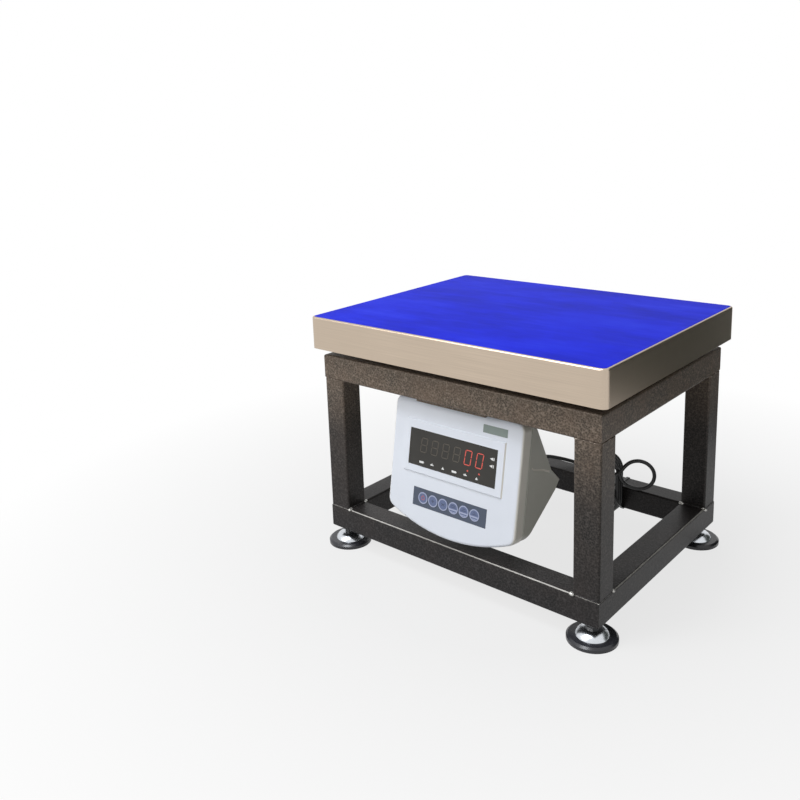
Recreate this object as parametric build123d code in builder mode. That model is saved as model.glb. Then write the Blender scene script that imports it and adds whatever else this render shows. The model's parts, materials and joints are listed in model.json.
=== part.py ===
# Platform scale: stainless pan on a sprung load cell, painted tube stand on four levelling
# feet, and a hung wedge indicator with a mains cord.
# Millimetres. Origin on the floor under the middle, +X right along the long front,
# +Y back, +Z up.
import os
from math import cos, radians, sin, sqrt, tan

from build123d import *

os.makedirs("parts", exist_ok=True)

# Pan
pan_length = 500
pan_width = 400
pan_skirt = 50
pan_top = 378
pan_sheet = 1.5
pan_corner = 9
pan_edge = 2.5
film_thick = 0.2
film_inset = 3

# Stand of square tube
frame_length = 476
frame_width = 372
frame_bottom = 28
tube = 38
tube_wall = 2
tube_corner = 3
leg_height = 212

# Members across the stand, which carry the load cell
cross_x = 55
cross_width = 50
cross_height = 20
cross_drop = 16
member_wall = 2

# Load cell and its packings
cell_length = 150
cell_width = 40
cell_height = 35
cell_pad = 40
cell_hole = 11
cell_hole_x = 18
cell_slot = 3
spacer_height = 6
bolt = 4.0
bolt_y = 12
bolt_head = 6.5
bolt_head_height = 5.3
bolt_grip = 14

# Platform bars under the pan
bar_height = 22
side_bar_y = 110
side_bar_width = 30
side_bar_length = 400
bumper_x = 185
bumper_radius = 12
stop_gap = 1.0
stop_nut_height = 6.5

# Levelling feet
foot_flange = 34
foot_flange_height = 7
foot_dome = 22.5
foot_dome_top = 16
foot_collar = 8
foot_collar_height = 3.3
stem = 6.0
stem_top = 60
foot_boss = 30
foot_boss_height = 12
lock_nut = 11
lock_nut_height = 6.5

# Fits
running_fit = 0.05
bolt_clearance = 0.3
cord_clearance = 0.3

# Indicator: the face leans, its lower edge forward
face_x = 5
face_setback = 21
face_y = face_setback - frame_width / 2
face_z = 278
face_lean = 10
shell_half = 112
shell_top = 5
shell_bottom = 196.5
shell_arc = 253
shell_corner = 14
shell_edge = 4
shell_wall = 2.5
bezel_depth = 18.4
rear_inset = 1.0

# Profile of the rear shell: distance down the face, depth behind the face
rear_rim = (7.5, 26.7)
rear_shoulder = (80, 81)
rear_apex = (98, 106.6)
rear_nose = (112, 97)
rear_heel = (170, 34)

# Display
surround_width = 173
surround_height = 78
surround_v = 75
surround_raise = 2.0
window_width = 153
window_height = 54
window_v = 76
window_thick = 2.0
window_ledge = 2.0
window_u = -1.5
digits_width = 144
digits_height = 44
board_width = 172
board_height = 86
board_v = 75
board_depth = 9
board_thick = 1.6
board_post = 3.5
board_post_u = 80
board_post_v = 39

# Keypad
keypad_u = -0.25
keypad_v = 148
keypad_width = 129.5
keypad_height = 27
keypad_recess = 1.4
keypad_proud = 0.2
keypad_film = 0.3
key_count = 6
key_pitch = 18.3
key_first_u = -46.6
key_radius = 8.6
key_thick = 1.3
key_proud = 0.7

# Label plate
label_u = 66.85
label_v = 24.65
label_width = 39.7
label_height = 11.3
label_thick = 0.4

# Housing screws
post_u = 98
post_top_v = 22
post_low_v = 158
post_radius = 4
screw = 1.4
screw_head = 2.8
screw_head_height = 2
sleeve = 5.5
sleeve_floor = 3
sleeve_reach = 90

# Battery and transformer in their cradles
battery_size = (101, 47, 47)
battery_place = (-41.5, 101.5, 44.5)
transformer_size = (48, 36, 36)
transformer_place = (64, 98, 48)
rib_thick = 3
rib_lap = 6
rib_from = 28
rib_reach = 90

# Hanger bracket
bracket_half = 60
bracket_thick = 3
bracket_flange = 40
bracket_leg = 72
bracket_hole_u = 35
bracket_hole_s = 62
bracket_screw = 2.5
bracket_screw_head = 4.8
bracket_screw_head_height = 3
bracket_screw_length = 10
bracket_nut_height = 4

# Cords
gland_radius = 8
gland_length = 12
gland_inside = 4
mains_gland_u = 40
mains_gland_v = 140
cell_gland_u = -78
cell_gland_v = 55
cell_lead_diameter = 4
mains_diameter = 6

# Hank of mains cord, tied to the rear rail
hank_x = 79
hank_z = 72
hank_width = 50
hank_height = 106
hank_thick = 25.5
loop_x = 128
loop_y = 144
loop_z = 94
loop_radius = 24.5
loop_turn = 25
tie_x = 98
tie_width = 5
tie_thick = 1.2
plug_x = 60
plug_length = 31
plug_width = 22
plug_thick = 16
plug_top = 60
plug_corner = 5
pin_length = 18
pin_radius = 2.4
pin_spread = 7

# Heights worked out from the sizes above
low_top = frame_bottom + tube
leg_top = low_top + leg_height
frame_top = leg_top + tube
corner_x = frame_length / 2 - tube / 2
corner_y = frame_width / 2 - tube / 2
rail_inner_y = frame_width / 2 - tube
cross_top = frame_top - cross_drop
cell_bottom = cross_top + spacer_height
cell_top = cell_bottom + cell_height
bar_bottom = cell_top + spacer_height
bar_top = bar_bottom + bar_height
pan_bottom = pan_top - pan_skirt
pan_under = pan_top - pan_sheet
cell_end_x = cell_length / 2 - cell_pad / 2

lean = radians(face_lean)
down = Vector(0, -sin(lean), -cos(lean))
inward = Vector(0, cos(lean), -sin(lean))
face_origin = Vector(face_x, face_y, face_z)
face = Plane(origin=face_origin, x_dir=(1, 0, 0), z_dir=inward * -1)
side = Plane(origin=face_origin, x_dir=down, z_dir=(1, 0, 0))
outward = Axis(face_origin, inward * -1)


def at_face(u, v, d):
    """A point from its place across the face, down it and behind it."""
    return face_origin + Vector(u, 0, 0) + down * v + inward * d


def face_plane(d):
    """The face's plane, moved back by a depth."""
    return face.offset(-d)


def save(part, name):
    """Name a finished sub-part and write its file."""
    part.label = name
    export_step(part, f"parts/{name}.step")
    print(name, round(part.volume / 1000, 2), "cm3", len(part.solids()), "solids")


# Pan

with BuildPart() as pan_tray:
    with BuildSketch(Plane.XY.offset(pan_bottom)):
        RectangleRounded(pan_length, pan_width, pan_corner)
    extrude(amount=pan_skirt)
    fillet(pan_tray.faces().sort_by(Axis.Z)[-1].edges(), pan_edge)
    with BuildSketch(Plane.XY.offset(pan_bottom)):
        RectangleRounded(
            pan_length - 2 * pan_sheet, pan_width - 2 * pan_sheet, pan_corner - pan_sheet
        )
    extrude(amount=pan_skirt - pan_sheet, mode=Mode.SUBTRACT)
save(pan_tray.part, "pan_tray")

with BuildPart() as pan_film:
    with BuildSketch(Plane.XY.offset(pan_top)):
        RectangleRounded(
            pan_length - 2 * film_inset, pan_width - 2 * film_inset, pan_corner - film_inset
        )
    extrude(amount=film_thick)
save(pan_film.part, "pan_film")


# Stand


def square_tube(plane, width, height, wall, corner, length):
    """A hollow rectangular tube, drawn on a plane and run along its normal."""
    with BuildPart() as run:
        with BuildSketch(plane):
            RectangleRounded(width, height, corner)
            RectangleRounded(
                width - 2 * wall, height - 2 * wall, corner - wall / 2, mode=Mode.SUBTRACT
            )
        extrude(amount=length)
    return run.part


def rail(along_x, sign, low):
    """One rail of a ring of tube, with mitred ends, its lower face at the height given."""
    length = frame_length if along_x else frame_width
    depth = frame_width if along_x else frame_length
    turn = 0 if along_x else 90
    if sign > 0:
        turn += 180
    middle = depth / 2 - tube / 2
    start = Plane(origin=(-length / 2, -middle, low + tube / 2), x_dir=(0, 1, 0), z_dir=(1, 0, 0))
    with BuildPart() as piece:
        add(square_tube(start, tube, tube, tube_wall, tube_corner, length))
        with BuildSketch(Plane.XY.offset(low)):
            Polygon(
                (-length / 2, -depth / 2),
                (length / 2, -depth / 2),
                (length / 2 - tube, -depth / 2 + tube),
                (-length / 2 + tube, -depth / 2 + tube),
                align=None,
            )
        extrude(amount=tube, mode=Mode.INTERSECT)
        if low == frame_bottom:
            with BuildSketch(Plane.XY.offset(low)):
                with Locations((-length / 2 + tube / 2, -middle), (length / 2 - tube / 2, -middle)):
                    Circle(stem + bolt_clearance)
            extrude(amount=tube_wall, mode=Mode.SUBTRACT)
    return piece.part.rotate(Axis.Z, turn)


for level, low in (("top", leg_top), ("bottom", frame_bottom)):
    save(rail(True, -1, low), f"{level}_front_rail")
    save(rail(True, 1, low), f"{level}_rear_rail")
    save(rail(False, 1, low), f"{level}_left_rail")
    save(rail(False, -1, low), f"{level}_right_rail")

corners = {
    "front_left": (-corner_x, -corner_y),
    "front_right": (corner_x, -corner_y),
    "rear_left": (-corner_x, corner_y),
    "rear_right": (corner_x, corner_y),
}

for name, (x, y) in corners.items():
    foot_of_leg = Plane(origin=(x, y, low_top), x_dir=(1, 0, 0), z_dir=(0, 0, 1))
    leg = square_tube(foot_of_leg, tube, tube, tube_wall, tube_corner, leg_height)
    save(leg, f"leg_{name}")

cell_bolts = [(-cell_end_x, -bolt_y), (-cell_end_x, bolt_y)]
stop_places = [(x, y) for x in (-cross_x, cross_x) for y in (-side_bar_y, side_bar_y)]

with BuildPart() as cross_members:
    for x in (-cross_x, cross_x):
        start = Plane(
            origin=(x, -rail_inner_y, cross_top - cross_height / 2),
            x_dir=(1, 0, 0),
            z_dir=(0, 1, 0),
        )
        add(square_tube(start, cross_width, cross_height, member_wall, tube_corner, 2 * rail_inner_y))
    with BuildSketch(Plane.XY.offset(cross_top - cross_height)):
        with Locations(*cell_bolts):
            Circle(bolt + bolt_clearance)
    extrude(amount=cross_height, mode=Mode.SUBTRACT)
    with BuildSketch(Plane.XY.offset(cross_top - member_wall)):
        with Locations(*stop_places):
            Circle(bolt + running_fit)
    extrude(amount=member_wall, mode=Mode.SUBTRACT)
save(cross_members.part, "cross_members")

stop_top = bar_bottom - stop_gap

with BuildPart() as overload_stops:
    with BuildSketch(Plane.XY.offset(cross_top - member_wall - bolt)):
        with Locations(*stop_places):
            Circle(bolt)
    extrude(amount=stop_top - cross_top + member_wall + bolt)
    with BuildSketch(Plane.XY.offset(stop_top - bolt_head_height)):
        with Locations(*stop_places):
            RegularPolygon(bolt_head, 6, major_radius=False)
    extrude(amount=bolt_head_height)
    with BuildSketch(Plane.XY.offset(cross_top)):
        with Locations(*stop_places):
            RegularPolygon(bolt_head, 6, major_radius=False)
            Circle(bolt + running_fit, mode=Mode.SUBTRACT)
    extrude(amount=stop_nut_height)
save(overload_stops.part, "overload_stops")


# Load cell, packings and bolts

lower_pad = Plane(origin=(-cell_end_x, 0, cross_top))
upper_pad = Plane(origin=(cell_end_x, 0, cell_top))
bolt_pair = [(0, -bolt_y), (0, bolt_y)]

for name, pad in (("lower_spacer", lower_pad), ("upper_spacer", upper_pad)):
    with BuildPart() as spacer:
        with BuildSketch(pad):
            Rectangle(cell_pad, cell_width)
            with Locations(*bolt_pair):
                Circle(bolt + bolt_clearance, mode=Mode.SUBTRACT)
        extrude(amount=spacer_height)
    save(spacer.part, name)

with BuildPart() as load_cell:
    with BuildSketch(Plane.XZ.offset(-cell_width / 2)):
        with Locations((0, cell_bottom + cell_height / 2)):
            Rectangle(cell_length, cell_height)
            Rectangle(2 * cell_hole_x, cell_slot, mode=Mode.SUBTRACT)
            with Locations((-cell_hole_x, 0), (cell_hole_x, 0)):
                Circle(cell_hole, mode=Mode.SUBTRACT)
    extrude(amount=cell_width)
    with BuildSketch(Plane.XY.offset(cell_bottom)):
        with Locations(*cell_bolts):
            Circle(bolt + running_fit)
    extrude(amount=bolt_grip + 2, mode=Mode.SUBTRACT)
    with BuildSketch(Plane.XY.offset(cell_top)):
        with Locations((cell_end_x, -bolt_y), (cell_end_x, bolt_y)):
            Circle(bolt + running_fit)
    extrude(amount=-bolt_grip - 2, mode=Mode.SUBTRACT)
save(load_cell.part, "load_cell")

lower_seat = Plane(origin=(-cell_end_x, 0, cross_top - cross_height))
upper_seat = Plane(origin=(cell_end_x, 0, bar_top), x_dir=(1, 0, 0), z_dir=(0, 0, -1))
lower_reach = cross_height + spacer_height + bolt_grip
upper_reach = bar_height + spacer_height + bolt_grip

for name, seat, reach in (
    ("lower_bolts", lower_seat, lower_reach),
    ("upper_bolts", upper_seat, upper_reach),
):
    with BuildPart() as bolts:
        with BuildSketch(seat):
            with Locations(*bolt_pair):
                Circle(bolt)
        extrude(amount=reach)
        with BuildSketch(seat):
            with Locations(*bolt_pair):
                RegularPolygon(bolt_head, 6, major_radius=False)
        extrude(amount=-bolt_head_height)
    save(bolts.part, name)


# Platform bars and bumpers

side_bar_inner = side_bar_y - side_bar_width / 2

with BuildPart() as platform_bars:
    across = Plane(
        origin=(cell_end_x, -side_bar_inner, bar_bottom + bar_height / 2),
        x_dir=(1, 0, 0),
        z_dir=(0, 1, 0),
    )
    add(square_tube(across, cross_width, bar_height, member_wall, tube_corner, 2 * side_bar_inner))
    for y in (-side_bar_y, side_bar_y):
        along = Plane(
            origin=(-side_bar_length / 2, y, bar_bottom + bar_height / 2),
            x_dir=(0, 1, 0),
            z_dir=(1, 0, 0),
        )
        add(
            square_tube(
                along, side_bar_width, bar_height, member_wall, tube_corner, side_bar_length
            )
        )
    with BuildSketch(Plane.XY.offset(bar_bottom)):
        with Locations((cell_end_x, -bolt_y), (cell_end_x, bolt_y)):
            Circle(bolt + bolt_clearance)
    extrude(amount=bar_height, mode=Mode.SUBTRACT)
save(platform_bars.part, "platform_bars")

with BuildPart() as pan_bumpers:
    with BuildSketch(Plane.XY.offset(bar_top)):
        with GridLocations(2 * bumper_x, 2 * side_bar_y, 2, 2):
            Circle(bumper_radius)
    extrude(amount=pan_under - bar_top)
save(pan_bumpers.part, "pan_bumpers")


# Levelling feet

with BuildPart() as foot_nuts:
    for height, thick, hexagon in (
        (frame_bottom + tube_wall, foot_boss_height, False),
        (frame_bottom - lock_nut_height, lock_nut_height, True),
    ):
        with BuildSketch(Plane.XY.offset(height)):
            with Locations(*corners.values()):
                if hexagon:
                    RegularPolygon(lock_nut, 6)
                else:
                    Rectangle(foot_boss, foot_boss)
                Circle(stem + running_fit, mode=Mode.SUBTRACT)
        extrude(amount=thick)
save(foot_nuts.part, "foot_nuts")

for name, (x, y) in corners.items():
    upright = Plane(origin=(x, y, 0), x_dir=(1, 0, 0), z_dir=(0, -1, 0))
    upright_axis = Axis((x, y, 0), (0, 0, 1))

    with BuildPart() as pad:
        with BuildSketch(upright):
            Polygon(
                (0, 0),
                (foot_flange, 0),
                (foot_flange, foot_flange_height - 2.5),
                (foot_flange - 3, foot_flange_height),
                (0, foot_flange_height),
                align=None,
            )
        revolve(axis=upright_axis)
    save(pad.part, f"foot_{name}_pad")

    with BuildPart() as dome:
        with BuildSketch(upright):
            with BuildLine():
                socket = Polyline(
                    (foot_collar, foot_dome_top),
                    (stem + running_fit, foot_dome_top),
                    (stem + running_fit, foot_flange_height + 1),
                    (0, foot_flange_height + 1),
                    (0, foot_flange_height),
                    (foot_dome, foot_flange_height),
                )
                ThreePointArc(
                    socket @ 1,
                    (foot_dome * 0.79, foot_flange_height + 6),
                    socket @ 0,
                )
            make_face()
        revolve(axis=upright_axis)
    save(dome.part, f"foot_{name}_dome")

    with BuildPart() as screw_stem:
        with BuildSketch(Plane(origin=(x, y, foot_flange_height + 1))):
            Circle(stem)
        extrude(amount=stem_top - foot_flange_height - 1)
        with BuildSketch(Plane(origin=(x, y, foot_dome_top))):
            RegularPolygon(foot_collar, 6)
        extrude(amount=foot_collar_height)
    save(screw_stem.part, f"foot_{name}_stem")


# Indicator shells


def outline(plane, inset):
    """The indicator's outline on a plane, drawn in by the inset."""
    half = shell_half - inset
    arc = shell_arc - inset
    arc_middle = shell_bottom - shell_arc
    low = arc_middle + sqrt(arc**2 - half**2)
    with BuildSketch(plane) as drawn:
        with BuildLine():
            sides = Polyline(
                (-half, -low), (-half, -shell_top - inset), (half, -shell_top - inset), (half, -low)
            )
            ThreePointArc(sides @ 1, (0, inset - shell_bottom), sides @ 0)
        make_face()
        fillet(drawn.vertices(), shell_corner - inset)
    return drawn.sketch


def rear_profile(inset, held=None):
    """The rear shell's side view, drawn in by the inset, or only the rib round a held block."""
    with BuildSketch(side) as drawn:
        Polygon(
            (shell_top, 0),
            (shell_top + rear_inset, bezel_depth),
            rear_rim,
            rear_shoulder,
            rear_apex,
            rear_nose,
            rear_heel,
            (shell_bottom, bezel_depth - 2),
            (shell_bottom, 0),
            align=None,
        )
        if inset:
            offset(amount=-inset, kind=Kind.INTERSECTION)
        if held:
            (_, box_v, box_d), (_, tall, deep) = held
            with Locations((box_v, box_d - deep / 2 + rib_from)):
                Rectangle(
                    tall + 2 * rib_lap,
                    rib_reach,
                    align=(Align.CENTER, Align.MIN),
                    mode=Mode.INTERSECT,
                )
            with Locations((box_v, box_d)):
                Rectangle(tall, deep, mode=Mode.SUBTRACT)
    return drawn.sketch


post_places = [(u, -v) for v in (post_top_v, post_low_v) for u in (-post_u, post_u)]
board_posts = [
    (u, -v)
    for v in (board_v - board_post_v, board_v + board_post_v)
    for u in (-board_post_u, board_post_u)
]

with BuildPart() as front_shell:
    extrude(outline(face, 0), amount=-bezel_depth)
    fillet(front_shell.faces().sort_by(outward)[-1].edges(), shell_edge)
    extrude(
        outline(face_plane(shell_wall), shell_wall),
        amount=shell_wall - bezel_depth,
        mode=Mode.SUBTRACT,
    )
    with BuildSketch(face):
        with Locations((0, -surround_v)):
            Rectangle(surround_width, surround_height)
    extrude(amount=surround_raise, taper=35)
    with BuildSketch(face.offset(surround_raise)):
        with Locations((window_u, -window_v)):
            Rectangle(window_width, window_height)
    extrude(amount=-surround_raise - 1, mode=Mode.SUBTRACT)
    with BuildSketch(face):
        with Locations((window_u, -window_v)):
            Rectangle(window_width - 2 * window_ledge, window_height - 2 * window_ledge)
    extrude(amount=-shell_wall, mode=Mode.SUBTRACT)
    with BuildSketch(face):
        with Locations((keypad_u, -keypad_v)):
            Rectangle(keypad_width, keypad_height)
    extrude(amount=-keypad_recess, mode=Mode.SUBTRACT)
    with BuildSketch(face_plane(shell_wall)):
        with Locations(*post_places):
            Circle(post_radius)
            Circle(screw + running_fit, mode=Mode.SUBTRACT)
    extrude(amount=shell_wall - bezel_depth)
    with BuildSketch(face_plane(shell_wall)):
        with Locations(*board_posts):
            Circle(board_post)
    extrude(amount=shell_wall - board_depth)
save(front_shell.part, "front_shell")


def block(place, size):
    """A plain box, stated by its middle and size across, down and behind the face."""
    u, v, d = place
    with BuildPart() as made:
        with BuildSketch(face_plane(d - size[2] / 2)):
            with Locations((u, -v)):
                Rectangle(size[0], size[1])
        extrude(amount=-size[2])
    return made.part


facet_slope = (rear_shoulder[1] - rear_rim[1]) / (rear_shoulder[0] - rear_rim[0])
heel_slope = (rear_heel[1] - rear_nose[1]) / (rear_heel[0] - rear_nose[0])


def upper_depth(v):
    """Depth of the rear shell's upper facet at a distance down the face."""
    return rear_rim[1] + (v - rear_rim[0]) * facet_slope


def lower_depth(v):
    """Depth of the rear shell's lower facet at a distance down the face."""
    return rear_nose[1] + (v - rear_nose[0]) * heel_slope


def facet_plane(u, v, d, slope):
    """The plane of a rear facet, at a point on it, facing away from the shell."""
    size = sqrt(1 + slope**2)
    normal = down * (-slope / size) + inward * (1 / size)
    return Plane(origin=at_face(u, v, d), x_dir=(1, 0, 0), z_dir=normal)


mains_gland = facet_plane(mains_gland_u, mains_gland_v, lower_depth(mains_gland_v), heel_slope)
cell_gland = facet_plane(cell_gland_u, cell_gland_v, upper_depth(cell_gland_v), facet_slope)
bracket_seat = facet_plane(0, bracket_hole_s, upper_depth(bracket_hole_s), facet_slope)
bracket_holes = [(-bracket_hole_u, 0), (bracket_hole_u, 0)]

with BuildPart() as rear_shell:
    extrude(rear_profile(0), amount=shell_half - rear_inset, both=True)
    extrude(outline(face_plane(bezel_depth), rear_inset), amount=-200, mode=Mode.INTERSECT)
    with BuildPart(mode=Mode.PRIVATE) as hollow:
        extrude(rear_profile(shell_wall), amount=shell_half - rear_inset - shell_wall, both=True)
        extrude(outline(face, rear_inset + shell_wall), amount=-200, mode=Mode.INTERSECT)
    add(hollow.part, mode=Mode.SUBTRACT)
    with BuildPart(mode=Mode.PRIVATE) as inside:
        with BuildSketch(face_plane(bezel_depth)):
            with Locations(*post_places):
                Circle(sleeve)
        extrude(amount=-sleeve_reach)
        extrude(rear_profile(0), amount=shell_half - rear_inset, both=True, mode=Mode.INTERSECT)
    add(inside.part)
    with BuildSketch(face_plane(bezel_depth)):
        with Locations(*post_places):
            Circle(screw + bolt_clearance)
    extrude(amount=-sleeve_floor, mode=Mode.SUBTRACT)
    with BuildSketch(face_plane(bezel_depth + sleeve_floor)):
        with Locations(*post_places):
            Circle(screw_head + 2 * bolt_clearance)
    extrude(amount=-sleeve_reach, mode=Mode.SUBTRACT)
    for size, place, spread in (
        (battery_size, battery_place, 32),
        (transformer_size, transformer_place, 14),
    ):
        for step in (-spread, spread):
            rib = extrude(
                rear_profile(shell_wall, (place, size)),
                amount=rib_thick / 2,
                both=True,
                mode=Mode.PRIVATE,
            )
            add(rib.moved(Location((place[0] + step, 0, 0))))
    for seat in (mains_gland, cell_gland):
        with BuildSketch(seat.offset(1)):
            Circle(gland_radius - 2 + bolt_clearance)
        extrude(amount=-2 * shell_wall - 1, mode=Mode.SUBTRACT)
    with BuildSketch(bracket_seat.offset(1)):
        with Locations(*bracket_holes):
            Circle(bracket_screw + bolt_clearance)
    extrude(amount=-2 * shell_wall - 1, mode=Mode.SUBTRACT)
save(rear_shell.part, "rear_shell")


# Display, board and keypad

with BuildPart() as display_window:
    with BuildSketch(face.offset(window_thick / 2)):
        with Locations((window_u, -window_v)):
            Rectangle(window_width - 2 * running_fit, window_height - 2 * running_fit)
    extrude(amount=-window_thick)
save(display_window.part, "display_window")

digits_front = 1.6
digits_deep = board_depth - digits_front
led_digits = block(
    (window_u, window_v, digits_front + digits_deep / 2), (digits_width, digits_height, digits_deep)
)
save(led_digits, "led_digits")

board_back = board_depth + board_thick

with BuildPart() as main_board:
    add(block((0, board_v, board_depth + board_thick / 2), (board_width, board_height, board_thick)))
    with BuildSketch(face_plane(board_depth)):
        with Locations(*board_posts):
            Circle(screw + bolt_clearance)
    extrude(amount=-board_thick, mode=Mode.SUBTRACT)
    for u, v, wide, tall, deep in (
        (-45, 60, 22, 22, 3),
        (0, 55, 28, 12, 4),
        (45, 60, 16, 16, 8),
        (62, 100, 20, 8, 8),
        (-60, 96, 14, 14, 9),
    ):
        add(block((u, v, board_back + deep / 2), (wide, tall, deep)))
save(main_board.part, "main_board")

key_places = [(key_first_u + i * key_pitch, -keypad_v) for i in range(key_count)]

with BuildPart() as keypad_overlay:
    with BuildSketch(face.offset(keypad_proud)):
        with Locations((keypad_u, -keypad_v)):
            Rectangle(keypad_width - 2 * running_fit, keypad_height - 2 * running_fit)
    extrude(amount=-keypad_recess - keypad_proud)
    with BuildSketch(face.offset(keypad_proud)):
        with Locations(*key_places):
            Circle(key_radius + running_fit)
    extrude(amount=keypad_film - keypad_recess - keypad_proud, mode=Mode.SUBTRACT)
save(keypad_overlay.part, "keypad_overlay")

for i, place in enumerate(key_places):
    with BuildPart() as key:
        with BuildSketch(face.offset(key_proud)):
            with Locations(place):
                Circle(key_radius)
        extrude(amount=-key_thick)
        fillet(key.faces().sort_by(outward)[-1].edges(), 0.3)
    save(key.part, f"key_{i + 1}")

label = block((label_u, label_v, -label_thick / 2), (label_width, label_height, label_thick))
save(label, "label_plate")

screw_tip = 6

with BuildPart() as indicator_screws:
    with BuildSketch(face_plane(bezel_depth + sleeve_floor)):
        with Locations(*post_places):
            Circle(screw)
    extrude(amount=bezel_depth + sleeve_floor - screw_tip)
    with BuildSketch(face_plane(bezel_depth + sleeve_floor)):
        with Locations(*post_places):
            Circle(screw_head)
    extrude(amount=-screw_head_height)
    with BuildSketch(bracket_seat.offset(bracket_thick)):
        with Locations(*bracket_holes):
            Circle(bracket_screw_head)
    extrude(amount=bracket_screw_head_height)
    with BuildSketch(bracket_seat.offset(bracket_thick)):
        with Locations(*bracket_holes):
            Circle(bracket_screw)
    extrude(amount=-bracket_screw_length - bracket_thick)
    with BuildSketch(bracket_seat.offset(-shell_wall)):
        with Locations(*bracket_holes):
            RegularPolygon(bracket_screw_head, 6)
            Circle(bracket_screw + running_fit, mode=Mode.SUBTRACT)
    extrude(amount=-bracket_nut_height)
save(indicator_screws.part, "indicator_screws")

save(block(battery_place, battery_size), "battery")
save(block(transformer_place, transformer_size), "transformer")


# Hanger bracket: flange under the front rail, leg down the rear shell's upper facet

facet_start = at_face(0, rear_rim[0], rear_rim[1])
facet_down = (at_face(0, rear_shoulder[0], rear_shoulder[1]) - facet_start).normalized()
facet_out = Vector(0, -facet_down.Z, facet_down.Y)


def on_facet(out, height=None, along=None):
    """A (y, z) point on the upper facet's line, moved out, by its height or its distance."""
    base = facet_start + facet_out * out
    if along is None:
        along = (height - base.Z) / facet_down.Z
    point = base + facet_down * along
    return (point.Y, point.Z)


fold_inner = on_facet(0, height=leg_top - bracket_thick)
fold_outer = on_facet(bracket_thick, height=leg_top)

with BuildPart() as hanger_bracket:
    with BuildSketch(Plane.YZ.offset(face_x)):
        Polygon(
            (fold_outer[0] - bracket_flange, leg_top - bracket_thick),
            fold_inner,
            on_facet(0, along=bracket_leg),
            on_facet(bracket_thick, along=bracket_leg),
            fold_outer,
            (fold_outer[0] - bracket_flange, leg_top),
            align=None,
        )
    extrude(amount=bracket_half, both=True)
    with BuildSketch(bracket_seat.offset(bracket_thick)):
        with Locations(*bracket_holes):
            Circle(bracket_screw + bolt_clearance)
    extrude(amount=-bracket_thick, mode=Mode.SUBTRACT)
save(hanger_bracket.part, "hanger_bracket")


# Glands and the load cell's lead

with BuildPart() as cord_glands:
    for seat, lead in ((mains_gland, mains_diameter), (cell_gland, cell_lead_diameter)):
        with BuildSketch(seat):
            Circle(gland_radius)
        extrude(amount=gland_length)
        with BuildSketch(seat):
            Circle(gland_radius - 2)
        extrude(amount=-shell_wall - gland_inside)
        with BuildSketch(seat.offset(gland_length)):
            Circle(lead / 2 + cord_clearance)
        extrude(amount=-gland_length - shell_wall - gland_inside, mode=Mode.SUBTRACT)
save(cord_glands.part, "cord_glands")


def cord(points, diameter, name):
    """A round cord along straight runs joined by arcs as large as the runs allow."""
    path = [Vector(*p) for p in points]
    radii = []
    for before, here, after in zip(path, path[1:], path[2:]):
        run_in = here - before
        run_out = after - here
        turn = radians(run_in.get_angle(run_out))
        radii.append(0.45 * min(run_in.length, run_out.length) / tan(turn / 2))
    print(name, "radii", [round(r, 1) for r in radii])
    with BuildPart() as tube_part:
        with BuildLine() as route:
            FilletPolyline(*path, radius=radii)
        start = route.wire()
        print(name, "length", round(start.length, 1))
        with BuildSketch(Plane(origin=start @ 0, z_dir=start % 0)):
            Circle(diameter / 2)
        sweep()
    return tube_part.part


cell_mouth = cell_gland.offset(gland_length - 2).origin
mains_mouth = mains_gland.offset(gland_length - 2).origin

cell_lead_points = [
    (-cell_length / 2, 0, 323),
    (-110, 0, 323),
    (-122, -22, 290),
    (-100, -46, 256),
    (-73, -71, 234),
    (cell_mouth.X, cell_mouth.Y, cell_mouth.Z),
]
save(cord(cell_lead_points, cell_lead_diameter, "load_cell_lead"), "load_cell_lead")

mains_points = [
    (mains_mouth.X, mains_mouth.Y, mains_mouth.Z),
    (45, -99, 90),
    (33, -58, 72),
    (10, -8, 66),
    (-18, 44, 68),
    (-44, 96, 76),
    (-56, 146, 84),
    (-18, 175, 75),
    (27, 178, 70),
    (58, 166, 88),
    (64, 151.5, 110),
]
save(cord(mains_points, mains_diameter, "mains_cord"), "mains_cord")


# Hank of the mains cord, its tie, and the plug

hank_back = rail_inner_y
hank_front = hank_back - hank_thick

with BuildPart() as cord_tie:
    with BuildSketch(Plane.YZ.offset(tie_x - tie_width / 2)):
        with Locations(((hank_front + frame_width / 2) / 2, frame_bottom + tube / 2)):
            Rectangle(hank_thick + tube + 2 * tie_thick, tube + 2 * tie_thick)
            Rectangle(hank_thick + tube, tube, mode=Mode.SUBTRACT)
    extrude(amount=tie_width)
save(cord_tie.part, "cord_tie")

loop_plane = Plane(
    origin=(loop_x, loop_y, loop_z),
    x_dir=(cos(radians(loop_turn)), sin(radians(loop_turn)), 0),
    z_dir=(sin(radians(loop_turn)), -cos(radians(loop_turn)), 0),
)

with BuildPart() as cord_hank:
    with BuildSketch(Plane.XZ.offset(-hank_back)):
        with Locations((hank_x, hank_z)):
            RectangleRounded(hank_width, hank_height, hank_width / 2 - 0.5)
    extrude(amount=hank_thick)
    with BuildSketch(Plane(origin=loop_plane.origin, x_dir=loop_plane.x_dir, z_dir=(0, 0, 1))):
        with Locations((loop_radius, 0)):
            Circle(mains_diameter / 2)
    revolve(axis=Axis(loop_plane.origin, loop_plane.z_dir))
    add(cord_tie.part, mode=Mode.SUBTRACT)
save(cord_hank.part, "cord_hank")

plug_y = hank_front - plug_thick / 2
plug_bottom = plug_top - plug_length
pin_places = [(plug_x - pin_spread, plug_y), (plug_x + pin_spread, plug_y)]

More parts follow.
